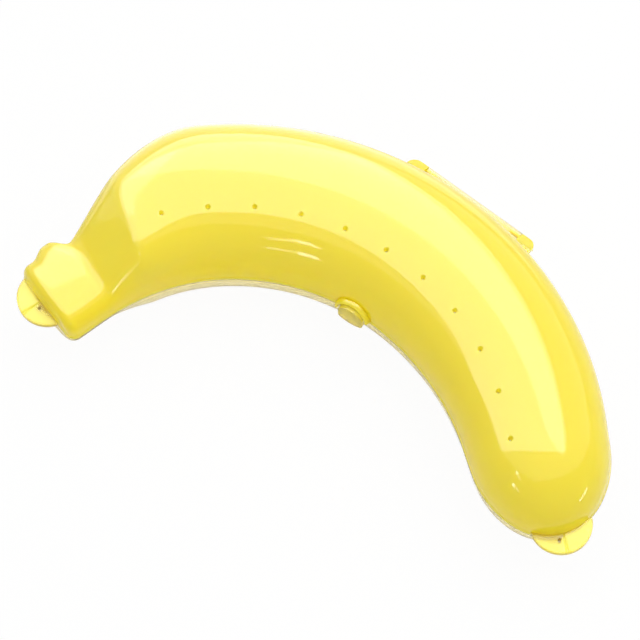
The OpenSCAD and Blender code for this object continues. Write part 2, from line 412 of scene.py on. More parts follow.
    def squareness(self, s: np.ndarray, half: Half) -> np.ndarray:
        """Exponent of the rounded section."""
        low = self.stem_square if half is Half.LID else self.under_square
        return low + (self.body_square - low) * self.shoulder(s)

    def crown(self, s: np.ndarray, y: np.ndarray, d: float) -> np.ndarray:
        """Height of the lid's surface.

        Args:
            s: Lengths along the middle line.
            y: Sideways distances.
            d: Distance inside the outer surface.

        Returns:
            The heights.
        """
        n = self.squareness(s, Half.LID)
        share = np.clip(np.abs(y - self.centre(s)) / self.half_w(s, d), 0, 1) ** n
        return self.rim_z(Half.LID) + self.half_h(s, d, Half.LID) * (1 - share) ** (1 / n)

    def wall_y(self, s: np.ndarray, rise: np.ndarray, side: Side, half: Half) -> np.ndarray:
        """Sideways place of the outer wall.

        Args:
            s: Lengths along the middle line.
            rise: Heights above the rim.
            side: The wall.
            half: The half.

        Returns:
            The sideways places.
        """
        n = self.squareness(s, half)
        share = np.clip(rise / self.half_h(s, 0, half), 0, 1) ** n
        return self.centre(s) + side.value * self.half_w(s, 0) * (1 - share) ** (1 / n)

    def inside(self, points: np.ndarray, d: float) -> np.ndarray:
        """Tells which points lie inside the rim outline, seen from above.

        Args:
            points: Points with a last axis of at least two.
            d: Distance that the outline is moved in by.

        Returns:
            True for each point inside.
        """
        s, side = self.along(points)
        held = np.clip(s, self.stem_end + d, self.tip_end - d)
        within = np.abs(side - self.centre(held)) <= self.half_w(held, d)
        return within & (s >= self.stem_end + d) & (s <= self.tip_end - d)


class Moulder:
    """Makes meshes from points in millimetres and finishes their edges."""

    ROD_SIDES = 48
    UPRIGHT = 0.9
    PAST_FOOT = 0.15
    PAST_TOP = 0.5

    @staticmethod
    def piece(name: str, points: np.ndarray, faces: Sequence[Sequence[int]]) -> bpy.types.Object:
        """Makes a piece from points and faces.

        Args:
            name: Name of the piece.
            points: Points in millimetres.
            faces: Corner numbers of each face.

        Returns:
            The new object, linked to the scene.
        """
        mesh = bpy.data.meshes.new(name)
        mesh.from_pydata((np.asarray(points, float) * MM).tolist(), [], [list(f) for f in faces])
        mesh.validate()
        piece = bpy.data.objects.new(name, mesh)
        bpy.context.scene.collection.objects.link(piece)
        return piece

    @staticmethod
    def grid(rows: int, cols: int, start: int = 0, turned: bool = False) -> list[tuple[int, ...]]:
        """Faces of a grid of points, row by row.

        Args:
            rows: Number of rows of points.
            cols: Number of points in a row.
            start: Number of the first point.
            turned: True if the faces look the other way.

        Returns:
            The faces.
        """
        faces = []
        for i in range(rows - 1):
            for j in range(cols - 1):
                a = start + i * cols + j
                quad = (a, a + 1, a + cols + 1, a + cols)
                faces.append(quad[::-1] if turned else quad)
        return faces

    @staticmethod
    def prism(name: str, low: np.ndarray, high: np.ndarray) -> bpy.types.Object:
        """Makes a closed solid between two outlines of as many points.

        Args:
            name: Name of the piece.
            low: Points of the first outline.
            high: Points of the second outline, in the same order.

        Returns:
            The piece.
        """
        n = len(low)
        sides = [(i, (i + 1) % n, n + (i + 1) % n, n + i) for i in range(n)]
        faces = [tuple(range(n))[::-1], tuple(range(n, 2 * n)), *sides]
        return Moulder.piece(name, np.concatenate([low, high]), faces)

    @staticmethod
    def sweep(name: str, rings: np.ndarray, turned: bool = False) -> bpy.types.Object:
        """Makes a closed solid through a row of rings.

        Args:
            name: Name of the piece.
            rings: Points of each ring, ring by ring.
            turned: True if the faces look the other way.

        Returns:
            The piece.
        """
        rows, cols = rings.shape[:2]
        faces = []
        for i in range(rows - 1):
            a, b = i * cols, (i + 1) * cols
            faces += [(a + j, a + (j + 1) % cols, b + (j + 1) % cols, b + j) for j in range(cols)]
        faces += [tuple(range(cols))[::-1], tuple(range((rows - 1) * cols, rows * cols))]
        return Moulder.piece(name, rings.reshape(-1, 3), [f[::-1] for f in faces] if turned else faces)

    @staticmethod
    def rod(name: str, start: np.ndarray, axis: np.ndarray, length: float, r: float,
            end_r: float | None = None) -> bpy.types.Object:
        """Makes a round rod or a cone.

        Args:
            name: Name of the piece.
            start: Middle of its first end.
            axis: Unit direction along it.
            length: Length.
            r: Radius.
            end_r: Radius at the far end, where it differs.

        Returns:
            The rod.
        """
        across = np.cross(axis, UP if abs(axis[2]) < Moulder.UPRIGHT else ALONG_HINGE)
        across = across / np.linalg.norm(across)
        up = np.cross(axis, across)
        a = np.linspace(0, 2 * np.pi, Moulder.ROD_SIDES, endpoint=False)[:, None]
        ring = np.cos(a) * across + np.sin(a) * up
        low = np.asarray(start, float) + r * ring
        far = np.asarray(start, float) + np.asarray(axis, float) * length
        return Moulder.prism(name, low, far + (r if end_r is None else end_r) * ring)

    @staticmethod
    def funnel(name: str, foot: np.ndarray, deep: float, inner_d: float,
               outer_d: float) -> bpy.types.Object:
        """Makes the upright tool of a hole that widens towards its top.

        Args:
            name: Name of the piece.
            foot: Middle of the hole at its lower face.
            deep: Depth of the hole.
            inner_d: Diameter at the lower face.
            outer_d: Diameter at the upper face.

        Returns:
            The tool, which stands a little past both faces.
        """
        under, over = Moulder.PAST_FOOT, Moulder.PAST_TOP
        slope = (outer_d - inner_d) / 2 / deep
        low, high = inner_d / 2 - slope * under, outer_d / 2 + slope * over
        return Moulder.rod(name, foot - under * UP, UP, deep + under + over, low, high)

    @staticmethod
    def bake(piece: bpy.types.Object) -> None:
        """Turns a piece's modifiers into its mesh.

        Args:
            piece: The piece.
        """
        depsgraph = bpy.context.evaluated_depsgraph_get()
        mesh = bpy.data.meshes.new_from_object(piece.evaluated_get(depsgraph), depsgraph=depsgraph)
        old = piece.data
        piece.modifiers.clear()
        piece.data = mesh
        bpy.data.meshes.remove(old)
        mesh.name = piece.name

    @staticmethod
    def combine(piece: bpy.types.Object, tool: bpy.types.Object, how: Solid) -> None:
        """Cuts a tool solid out of a piece or adds it, and removes the tool.

        Args:
            piece: The piece.
            tool: The tool solid.
            how: Whether it is cut out or added.
        """
        modifier = piece.modifiers.new("solid", "BOOLEAN")
        modifier.operation = how.value
        modifier.solver = "EXACT"
        modifier.object = tool
        Moulder.bake(piece)
        bpy.data.objects.remove(tool)

    @staticmethod
    def shade(piece: bpy.types.Object, angle: float) -> None:
        """Shades a piece smooth, but for edges of more than an angle in degrees."""
        piece.data.polygons.foreach_set("use_smooth", [True] * len(piece.data.polygons))
        piece.data.set_sharp_from_angle(angle=math.radians(angle))

    @staticmethod
    def round_edges(piece: bpy.types.Object, width: float, steps: int, angle: float) -> None:
        """Rounds the sharp edges of a piece and shades it smooth.

        Args:
            piece: The piece.
            width: Width of the rounding in millimetres.
            steps: Number of strips in the rounding.
            angle: Least angle between two faces that counts as an edge, in degrees.
        """
        modifier = piece.modifiers.new("edges", "BEVEL")
        modifier.width = width * MM
        modifier.segments = steps
        modifier.limit_method = "ANGLE"
        modifier.angle_limit = math.radians(angle)
        Moulder.bake(piece)
        Moulder.shade(piece, angle)

    @staticmethod
    def points(piece: bpy.types.Object) -> np.ndarray:
        """Points of a piece.

        Args:
            piece: The piece.

        Returns:
            The points in millimetres.
        """
        flat = np.zeros(len(piece.data.vertices) * 3)
        piece.data.vertices.foreach_get("co", flat)
        return flat.reshape(-1, 3) / MM

    @staticmethod
    def paint(piece: bpy.types.Object, layer_name: str, values: np.ndarray | float) -> None:
        """Stores a value from 0 to 1 at each point of a piece, for the skin's colour.

        Args:
            piece: The piece.
            layer_name: Name of the layer of values.
            values: One value for each point, or one for all.
        """
        every = np.broadcast_to(values, len(piece.data.vertices))
        layer = piece.data.attributes.new(layer_name, "FLOAT", "POINT")
        layer.data.foreach_set("value", np.clip(every, 0, 1).astype(np.float32))


class SkinGroup:
    """Shader group of a moulded skin: uneven colour, painted light and shade, faint scuffs, a fine
    ripple.
    """

    NAME = "moulded_skin"
    MOTTLE_SCALE = 55.0
    MOTTLE_DETAIL = 3.0
    MOTTLE_SPAN = (0.35, 0.7)
    MOTTLE_SHARE = 0.08
    SCUFF_STRETCH = (900.0, 60.0, 60.0)
    SCUFF_TURN = (0.2, 0.1, 0.7)
    SCUFF_DETAIL = 2.0
    SCUFF_SPAN = (0.6, 0.8)
    RIPPLE_SCALE = 420.0
    RIPPLE_DETAIL = 1.0

    @classmethod
    def get(cls) -> Tree:
        """Returns the group, made on first use."""
        return bpy.data.node_groups.get(cls.NAME) or cls.make()

    @classmethod
    def make(cls) -> Tree:
        """Builds the group.

        Returns:
            The group, with three colours, the share of painted light and shade (Depth), the share of
            painted shade, Gloss and Scuff in and Colour, Roughness and Height out.
        """
        tree = bpy.data.node_groups.new(cls.NAME, "ShaderNodeTree")
        for name in ("Colour", "Light and shade colour", "Painted shade colour"):
            tree.interface.new_socket(name, in_out="INPUT", socket_type="NodeSocketColor")
        for name in ("Depth", "Painted shade", "Gloss", "Scuff"):
            tree.interface.new_socket(name, in_out="INPUT", socket_type="NodeSocketFloat")
        for name, kind in (("Colour", "Color"), ("Roughness", "Float"), ("Height", "Float")):
            tree.interface.new_socket(name, in_out="OUTPUT", socket_type=f"NodeSocket{kind}")
        given, out = tree.nodes.new("NodeGroupInput").outputs, tree.nodes.new("NodeGroupOutput")
        place = tree.nodes.new("ShaderNodeTexCoord").outputs["Object"]

        mottle = cls.noise(tree, place, cls.MOTTLE_SCALE, cls.MOTTLE_DETAIL)
        spread = cls.stretch(tree, mottle, cls.MOTTLE_SPAN, cls.MOTTLE_SHARE)
        # Mixes in painted light and shade with a random mottle, then painted shade in vents, holes and
        # along edges.
        depth = maths(tree, "ADD", given["Depth"], spread, clamp=True)
        colour = cls.blend(tree, depth, given["Colour"], given["Light and shade colour"])
        colour = cls.blend(tree, given["Painted shade"], colour, given["Painted shade colour"])

        turned = {"Vector": place, "Scale": cls.SCUFF_STRETCH, "Rotation": cls.SCUFF_TURN}
        strokes = add_node(tree, "ShaderNodeMapping", turned).outputs["Vector"]
        scuff = cls.noise(tree, strokes, 1.0, cls.SCUFF_DETAIL)
        worn = cls.stretch(tree, scuff, cls.SCUFF_SPAN, given["Scuff"])
        rough = maths(tree, "ADD", given["Gloss"], worn)

        ripple = cls.noise(tree, place, cls.RIPPLE_SCALE, cls.RIPPLE_DETAIL)
        feed(tree, out, {"Colour": colour, "Roughness": rough, "Height": ripple})
        return tree

    @staticmethod
    def noise(tree: Tree, place: Socket, scale: float,
              detail: float) -> Socket:
        """Adds a noise at a place and returns its value."""
        made = add_node(tree, "ShaderNodeTexNoise", {"Vector": place, "Scale": scale, "Detail": detail})
        return made.outputs["Fac"]

    @staticmethod
    def stretch(tree: Tree, value: Socket, span: tuple[float, float],
                most: Socket | float) -> Socket:
        """Maps a span of a value to the range from 0 to most and returns the result."""
        ends = {"Value": value, "From Min": span[0], "From Max": span[1], "To Max": most}
        return add_node(tree, "ShaderNodeMapRange", ends).outputs["Result"]

    @staticmethod
    def blend(tree: Tree, share: Socket, first: Socket,
              second: Socket) -> Socket:
        """Mixes a share of the second colour into the first and returns the result."""
        colours = {"Factor": share, "A": first, "B": second}
        return add_node(tree, "ShaderNodeMix", colours, data_type="RGBA").outputs["Result"]


@dataclass(frozen=True)
class Plastic:
    """A glossy moulded plastic; each finish sets how much light it passes."""

    name: str
    slot: Slot
    colour: tuple[float, float, float, float]
    # Colours mixed in where light and shade are painted, and where shade is painted.
    deep: tuple[float, float, float, float]
    painted_shade: tuple[float, float, float, float] = linear(120, 104, 12)
    gloss: float = 0.08
    scuff: float = 0.04
    ior: float = 1.5
    ripple: float = 0.03
    ripple_depth: float = 0.0002
    clear: float = 0.0
    milky: float = 0.0
    milk_depth: float = 0.003
    milk_radius: tuple[float, float, float] = (1.0, 0.8, 0.25)
    casts_shadow: bool = True

    def material(self) -> bpy.types.Material:
        """Returns the finish as a material, made on first use."""
        return bpy.data.materials.get(self.name) or self.make()

    def make(self) -> bpy.types.Material:
        """Builds the material.

        Returns:
            A material of one Principled shader fed by the moulded skin.
        """
        material = bpy.data.materials.new(self.name)
        material.use_nodes = True
        tree = material.node_tree
        # Shares of painted light and shade, and of painted shade, from the pieces' layers.
        depth, painted_shade = (add_node(tree, "ShaderNodeAttribute", {}, attribute_name=layer).outputs["Fac"]
                         for layer in (LIGHT_AND_SHADE_LAYER, SHADE_LAYER))
        skin = add_node(tree, "ShaderNodeGroup", {
            "Colour": self.colour,
            "Light and shade colour": self.deep,
            "Painted shade colour": self.painted_shade,
            "Depth": depth,
            "Painted shade": painted_shade,
            "Gloss": self.gloss,
            "Scuff": self.scuff,
        }, node_tree=SkinGroup.get()).outputs
        bump = add_node(tree, "ShaderNodeBump", {
            "Strength": self.ripple,
            "Distance": self.ripple_depth,
            "Height": skin["Height"],
        })
        feed(tree, tree.nodes["Principled BSDF"], {
            "IOR": self.ior,
            "Transmission Weight": self.clear,
            "Subsurface Weight": self.milky,
            "Subsurface Radius": self.milk_radius,
            "Subsurface Scale": self.milk_depth,
            "Base Color": skin["Colour"],
            "Roughness": skin["Roughness"],
            "Normal": bump.outputs["Normal"],
        })
        return material

    def dress(self, piece: bpy.types.Object, body: Body, *nodes: str) -> None:
        """Gives a piece this finish and lets it ride on a body for CAD nodes.

        Args:
            piece: The piece.
            body: The body that it rides on.
            nodes: CAD nodes that it stands for.
        """
        piece.data.materials.clear()
        piece.data.materials.append(self.material())
        piece.visible_shadow = self.casts_shadow
        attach(piece, body.value)
        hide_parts(*nodes)
        LOG.info("%s rides on %s as %s", piece.name, body.value, self.name)


# Its deep colour is for painted light on the concave wall and the latch ridge; its third colour is for
# painted olive shade in the vents and along the concave edge.
YELLOW = Plastic(
    name="yellow_translucent_plastic",
    slot=Slot.YELLOW,
    colour=linear(243, 221, 56),
    deep=linear(255, 224, 4),
    painted_shade=linear(240, 224, 64),
    gloss=0.06,
    ior=1.42,
    milky=0.6,
)
# Its deep colour is for the painted shade at the tabs' roots and edges, its darkest colour for the
# painted shade in their pin holes.
THIN_YELLOW = Plastic(
    name="thin_yellow_plastic",
    slot=Slot.YELLOW,
    colour=linear(255, 246, 100),
    deep=linear(222, 202, 50),
    painted_shade=linear(150, 128, 40),
    gloss=0.12,
    ior=1.35,
    clear=0.7,
    casts_shadow=False,
)
# Its cream colour is painted light, the lid's yellow light seen in the clear plastic; its deep colour is
# for the painted shade round the base's foot.
CLEAR = Plastic(
    name="clear_plastic",
    slot=Slot.CLEAR,
    colour=linear(255, 246, 196),
    deep=linear(244, 226, 140),
    gloss=0.03,
    scuff=0.004,
    ripple=0.004,
    ior=1.25,
    clear=0.85,
    casts_shadow=False,
)
# Copy of the clear plastic with painted shade: its olive yellow stands in for the shaded yellow lid wall
# seen through the latch tongue.
SHADED_CLEAR = Plastic(
    name="clear_plastic_with_painted_shade",
    slot=Slot.CLEAR,
    colour=linear(255, 243, 92),
    deep=linear(240, 216, 70),
    gloss=0.06,
    ior=1.35,
    clear=0.6,
    casts_shadow=False,
)


@dataclass
class Shell:
    """One half of the case: an even wall with a low bead along its rim, in millimetres."""

    form: BananaForm
    half: Half
    name: str
    inset: float = 0.05
    bead: float = 0.25
    bead_rows: tuple[float, ...] = (0.0, 0.4, 0.8, 0.95, 1.1, 1.25, 1.4, 1.9, 2.6)
    bead_from: float = 0.85
    bead_to: float = 1.3
    crown_steps: int = 30
    end_steps: int = 10
    block_steps: int = 70
    run_steps: int = 120
    cap_steps: int = 30
    foot_blend: float = 0.3
    rim_round: float = 0.25
    rim_reach: float = 0.11

    def stations(self, d: float) -> np.ndarray:
        """Places of the sections along the middle line, closer together at both ends.

        Args:
            d: Distance inside the outer surface.

        Returns:
            Lengths along the middle line.
        """
        form = self.form
        first = np.linspace(0, 90, self.end_steps, endpoint=False)
        stem = form.stem_end + d + (form.end_r - d) * (1 - np.cos(np.radians(first)))
        block = np.linspace(form.stem_end + form.end_r, form.body_from, self.block_steps, endpoint=False)
        run = np.linspace(form.body_from, form.cap_from, self.run_steps)
        last = np.sin(np.radians(np.linspace(0, 90, self.cap_steps + 1)[1:]))
        cap = form.cap_from + (form.cap_l - d) * form.cap_stop * last
        return np.concatenate([stem, block, run, cap])

    def angles(self) -> np.ndarray:
        """Angles of the points of a section, closer together at the rims.

        Returns:
            The angles, from the convex rim over the crown to the concave rim.
        """
        low = np.array(self.bead_rows) / self.form.lid_h
        rim = np.arcsin(low ** (self.form.body_square / 2))
        crown = np.linspace(rim[-1], np.pi / 2, self.crown_steps + 1)[1:]
        quarter = np.concatenate([rim, crown])
        return np.concatenate([quarter, np.pi - quarter[-2::-1]])

    def skin(self, d: float, most: float) -> tuple[np.ndarray, np.ndarray]:
        """Points of the surface at inside distance d.

        Args:
            d: Distance inside the outer surface.
            most: Greatest height above the rim, which cuts the foot flat.

        Returns:
            Points as rows of sections, and their heights above the rim.
        """
        form, a = self.form, self.angles()[None, :]
        s = self.stations(d)[:, None]
        power = 2 / form.squareness(s, self.half)
        c = np.cos(a)
        y = form.centre(s) + form.half_w(s, d) * np.sign(c) * np.abs(c) ** power
        rise = form.half_h(s, d, self.half) * np.sin(a).clip(0) ** power
        gap = rise - most
        rise = most + (gap - np.sqrt(gap**2 + self.foot_blend**2)) / 2 + 0 * y
        rise = rise - rise[:, :1]
        reach = self.rim_reach * (1 - ease(rise / self.bead_from))
        z = form.rim_z(self.half) + self.half.value * (rise - reach)
        return form.at(s + 0 * y, y, z), rise

    def build(self) -> bpy.types.Object:
        """Builds the shell with its bead and rounded rim.

        Returns:
            The piece.
        """
        form = self.form
        most = 2 * form.lid_h if self.half is Half.LID else form.rim_z(Half.BASE)
        rim, rise = self.skin(self.inset, most)
        body, _ = self.skin(self.bead, most - self.bead)
        share = ease((rise - self.bead_from) / (self.bead_to - self.bead_from))[..., None]
        outer = rim * (1 - share) + body * share
        inner, _ = self.skin(form.wall, most - form.wall)
        rows, cols = outer.shape[:2]
        count, last = rows * cols, (rows - 1) * cols
        flip = self.half is Half.BASE
        faces = Moulder.grid(rows, cols, 0, flip) + Moulder.grid(rows, cols, count, not flip)
        loose = [tuple(range(cols))[::-1], tuple(range(last, last + cols))]
        loose += [tuple(f + count for f in face)[::-1] for face in loose]
        for i in range(rows - 1):
            a, b = i * cols, (i + 1) * cols
            loose += [(a, b, b + count, a + count)]
            loose += [(a + cols - 1 + count, b + cols - 1 + count, b + cols - 1, a + cols - 1)]
        loose += [(0, count, count + cols - 1, cols - 1)]
        loose += [(last, last + cols - 1, last + cols - 1 + count, last + count)]
        faces += [face[::-1] if flip else face for face in loose]
        points = np.concatenate([outer.reshape(-1, 3), inner.reshape(-1, 3)])
        return Moulder.piece(self.name, points, faces)


@dataclass
class Lid:
    """The yellow lid with its row of vents."""

    form: BananaForm
    finish: Plastic = YELLOW
    vent_count: int = 11
    vent_d: float = 1.7
    vent_inner_d: float = 0.25
    vent_edge: float = 0.15
    vent_from_stem: float = 44.0
    vent_from_tip: float = 24.7
    vent_shift: float = 9.5
    # Where the painted light on the concave wall lies, and how it fades towards the tip.
    band_up: float = 3.5
    band_glow: float = 0.9
    band_from: float = -30.0
    band_l: float = 60.0
    band_fall: float = 0.8
    # Where the painted shade along the concave edge lies.
    edge_w: float = 1.2
    edge_share: float = 0.7
    edge_fade: float = 0.3
    side_w: float = 8.0
    fade: float = 10.0

    def vent_places(self) -> np.ndarray:
        """Places of the vents along the middle line.

        Returns:
            One length for each vent.
        """
        form = self.form
        first, end = form.stem_end + self.vent_from_stem, form.tip_end - self.vent_from_tip
        return np.linspace(first, end, self.vent_count)

    def vents(self) -> bpy.types.Object:
        """Makes the tool that drills the vents, which narrow towards the inside.

        Returns:
            One piece with a funnel for each vent.
        """
        form, y = self.form, np.array(-self.vent_shift)
        points, faces, count = [], [], 0
        for s in self.vent_places():
            outer, inner = (float(form.crown(s, y, d)) for d in (0.0, form.wall))
            foot = form.at(np.array(s), y, np.array(inner))
            cone = Moulder.funnel("vent", foot, outer - inner, self.vent_inner_d, self.vent_d)
            own = Moulder.points(cone)
            faces += [tuple(v + count for v in face.vertices) for face in cone.data.polygons]
            points.append(own)
            count += len(own)
            bpy.data.objects.remove(cone)
        return Moulder.piece("vents", np.concatenate(points), faces)

    def painted_shade(self, points: np.ndarray) -> np.ndarray:
        """Share of painted shade: inside the vents and in a line along the concave edge.

        Args:
            points: Points of the lid.

        Returns:
            Values from 0 to 1.
        """
        s = self.vent_places()
        middle = self.form.at(s, np.full(len(s), -self.vent_shift), 0 * s)[:, :2]
        gap = np.linalg.norm(points[:, None, :2] - middle[None], axis=-1).min(axis=1)
        vents = ease((self.vent_d / 2 + self.vent_edge - gap) / self.vent_edge)
        _, side = self.form.along(points)
        rise = points[:, 2] - self.form.rim_z(Half.LID)
        rim = self.edge_share * ease(-side / self.side_w) * ease((self.edge_w - rise) / self.edge_fade)
        return np.maximum(vents, rim)

    def depth(self, points: np.ndarray) -> np.ndarray:
        """Share of painted light: a deep golden glow of light through the concave wall, most towards the
        stem.

        Args:
            points: Points of the lid.

        Returns:
            Values from 0 to 1.
        """
        s, side = self.form.along(points)
        rise = points[:, 2] - self.form.rim_z(Half.LID)
        glow = ease(1 - (side + self.side_w) / self.side_w) * ease(1 - (rise - self.band_up) / self.fade)
        return self.band_glow * glow * (1 - self.band_fall * ease((s - self.band_from) / self.band_l))

    def build(self) -> bpy.types.Object:
        """Builds and dresses the lid.

        Returns:
            The lid.
        """
        shell = Shell(self.form, Half.LID, "lid_moulding")
        lid = shell.build()
        Moulder.combine(lid, self.vents(), Solid.CUT)
        Moulder.round_edges(lid, shell.rim_round, steps=2, angle=SWEPT_ANGLE)
        points = Moulder.points(lid)
        # Painted light on the concave wall; painted shade in the vents and along the concave edge.
        Moulder.paint(lid, LIGHT_AND_SHADE_LAYER, self.depth(points))
        Moulder.paint(lid, SHADE_LAYER, self.painted_shade(points))
        self.finish.dress(lid, Body.LID, "lid_shell")
        return lid


@dataclass
class Base:
    """The clear base with the lips that stand inside its rim."""

    form: BananaForm
    finish: Plastic = CLEAR
    lip_up: float = 3.5
    lip_down: float = 3.0
    lip_t: float = 1.0
    lip_gap: float = 0.55
    lip_from_stem: float = 60.0
    lip_from_tip: float = 36.7
    lip_steps: int = 240
    lip_round: float = 0.3
    shade_band_at: float = 6.5
    shade_band_w: float = 2.5

    def shell(self) -> bpy.types.Object:
        """Builds and dresses the shell of the base, with a band of painted shade round its foot.

        Returns:
            The shell.
        """
        shell = Shell(self.form, Half.BASE, "base_moulding")
        base = shell.build()
        Moulder.round_edges(base, shell.rim_round, steps=2, angle=SWEPT_ANGLE)
        fall = self.form.rim_z(Half.BASE) - Moulder.points(base)[:, 2]
        # Painted shade: a darker, yellower band round the foot.
        Moulder.paint(base, LIGHT_AND_SHADE_LAYER, ease(1 - np.abs(fall - self.shade_band_at) / self.shade_band_w))
        self.finish.dress(base, Body.BASE, "base_shell")
        return base

    def lip(self, side: Side, name: str, node: str) -> bpy.types.Object:
        """Builds and dresses the lip along one wall.

        Args:
            side: The wall that it follows.
            name: Name of the piece.
            node: CAD node that it stands for.

        Returns:
            The lip.
        """
        form = self.form
        near = form.wall + self.lip_gap
        section = [(near, -self.lip_down), (near + self.lip_t, -self.lip_down),
                   (near + self.lip_t, self.lip_up), (near, self.lip_up)]
        first, last = form.stem_end + self.lip_from_stem, form.tip_end - self.lip_from_tip
        s = np.linspace(first, last, self.lip_steps)
        rows = [form.at(s, side.value * form.reach(s, d, side), form.part_z + 0 * s + z)
                for d, z in section]
        lip = Moulder.sweep(name, np.stack(rows, axis=1), turned=side is Side.CONVEX)
        Moulder.round_edges(lip, self.lip_round, steps=2, angle=SWEPT_ANGLE)
        Moulder.paint(lip, LIGHT_AND_SHADE_LAYER, 0.0)
        self.finish.dress(lip, Body.BASE, node)
        return lip

    def build(self) -> list[bpy.types.Object]:
        """Builds the base and its two lips.

        Returns:
            The shell and the lips.
        """
        return [
            self.shell(),
            self.lip(Side.CONVEX, "hinge_side_lip", "rim_lip_hinge_side"),
            self.lip(Side.CONCAVE, "latch_side_lip", "rim_lip_latch_side"),
        ]


@dataclass
class FingerTab:
    """Half-disc tab at one end of the lid, with a crease and a pin hole.

    Angles go round the centre of the disc: 0 is straight away from the case, and they grow towards
    the convex side.
    """

    form: BananaForm
    end: End
    name: str
    node: str
    inset: float
    side: float
    finish: Plastic = THIN_YELLOW
    r: float = 8.88
    thick: float = 1.6
    bury: float = 0.8
    hole_d: float = 0.9
    hole_inner_d: float = 0.3
    hole_out: float = 1.4
    hole_side: float = 1.5
    # Spread of the painted shade round the pin hole.
    hole_edge: float = 0.2
    hole_fade: float = 0.15
    crease_w: float = 0.05
    crease_d: float = 0.45
    crease_clear: float = 0.15
    crease_spokes: tuple[float, ...] = (0.02, 0.04, 0.06, 0.09, 0.13)
    # Where the painted shade at the root and round the edge lies.
    root_w: float = 2.2
    root_least: float = 0.2
    root_turn: float = 0.25
    root_full: float = 1.4
    rim_w: float = 0.5
    rim_shade: float = 0.7
    rings: int = 10
    spokes: int = 90
    least_w: float = 0.3
    scan: float = 0.75
    scan_spokes: int = 1201
    scan_rings: int = 361
    edge_round: float = 0.45

    def frame(self) -> tuple[np.ndarray, np.ndarray, np.ndarray]:
        """Place of the disc.

        Returns:
            Its centre, the direction away from the case and the direction to the convex side.
        """
        form = self.form
        s = np.array(form.stem_end if self.end is End.STEM else form.tip_end)
        shift = self.side + (float(form.centre(s + form.end_r)) if self.end is End.STEM else 0.0)
        a = float(form.turn(s))
        out = self.end.value * np.array((math.cos(a), -math.sin(a), 0.0))
        across = np.array((math.sin(a), math.cos(a), 0.0))
        middle = form.at(s, np.array(shift), np.array(form.plate_z)) - self.inset * out
        return middle, out, across

    def ways(self, angles: np.ndarray) -> np.ndarray:
        """Directions from the centre of the disc at angles."""
        _, out, across = self.frame()
        return np.cos(angles)[:, None] * out + np.sin(angles)[:, None] * across

    def roots(self) -> tuple[np.ndarray, np.ndarray]:
        """Finds where the disc comes out of the lid's wall.

        Returns:
            Angles, and the distance from the centre of the disc at each.
        """
        middle, _, _ = self.frame()
        angles = np.linspace(-self.scan * np.pi, self.scan * np.pi, self.scan_spokes)
        steps = np.linspace(0, self.r, self.scan_rings)
        places = middle + steps[None, :, None] * self.ways(angles)[:, None, :]
        return angles, np.where(self.form.inside(places, self.bury), steps[None, :], 0).max(axis=1)

    def slab(self) -> bpy.types.Object:
        """Makes the part of the disc that stands out of the lid, with its crease.

        Returns:
            The piece.
        """
        middle, _, _ = self.frame()
        every, root = self.roots()
        free = np.abs(every)[root > self.r - self.least_w]
        widest = free.min() if len(free) else every[-1]
        fine = np.array(self.crease_spokes)
        angles = np.linspace(-widest, widest, self.spokes)
        coarse = angles[np.abs(angles) > self.crease_clear]
        angles = np.unique(np.concatenate([coarse, fine, -fine, [0.0]]))
        start = np.interp(angles, every, root)
        share = np.linspace(0, 1, self.rings)[:, None]
        radius = start + (self.r - start) * share
        flat = middle + radius[..., None] * self.ways(angles)
        crease = self.crease_d * np.exp(-((angles / self.crease_w) ** 2)) * (share > 0)
        top = flat + UP * (self.thick - crease)[..., None]
        rows, cols = flat.shape[:2]
        count = rows * cols
        faces = Moulder.grid(rows, cols, 0, True) + Moulder.grid(rows, cols, count)
        border = [*range(cols), *range(2 * cols - 1, count, cols),
                  *range(count - 2, count - cols - 1, -1), *range(count - 2 * cols, 0, -cols)]
        for a, b in zip(border, border[1:] + border[:1]):
            faces.append((a, b, b + count, a + count))
        if self.end is End.TIP:
            faces = [face[::-1] for face in faces]
        return Moulder.piece(self.name, np.concatenate([flat.reshape(-1, 3), top.reshape(-1, 3)]), faces)

    def build(self) -> bpy.types.Object:
        """Builds and dresses the tab.

        Returns:
            The tab.
        """
        middle, out, across = self.frame()
        tab = self.slab()
        hole = middle + (self.inset + self.hole_out) * out - self.hole_side * across
        drill = Moulder.funnel("hole", hole, self.thick, self.hole_inner_d, self.hole_d)
        Moulder.round_edges(tab, self.edge_round, steps=3, angle=JOINED_ANGLE)
        Moulder.combine(tab, drill, Solid.CUT)
        Moulder.shade(tab, JOINED_ANGLE)
        points = Moulder.points(tab)
        gap = np.linalg.norm(points[:, :2] - hole[:2], axis=1)
        # Painted shade at the root and round the edge, and in the pin hole.
        Moulder.paint(tab, LIGHT_AND_SHADE_LAYER, self.depth(points))
        Moulder.paint(tab, SHADE_LAYER, ease((self.hole_d / 2 + self.hole_edge - gap) / self.hole_fade))
        self.finish.dress(tab, Body.LID, self.node)
        return tab

    def depth(self, points: np.ndarray) -> np.ndarray:
        """Share of painted shade: at the root on the latch side, where the tab meets the lid, and round
        the edge.

        Args:
            points: Points of the tab.

        Returns:
            Values from 0 to 1.
        """
        middle, out, across = self.frame()
        away, aside = (points - middle) @ out, (points - middle) @ across
        angle, radius = np.arctan2(aside, away), np.hypot(aside, away)
        wide = self.root_w * (self.root_least + (1 - self.root_least) * ease(-angle / self.root_turn))
        beyond = radius - np.interp(angle, *self.roots()) - self.bury
        rim = self.rim_shade * ease((radius - self.r + self.rim_w) / self.rim_w)
        return np.maximum(ease(self.root_full - beyond / wide), rim)


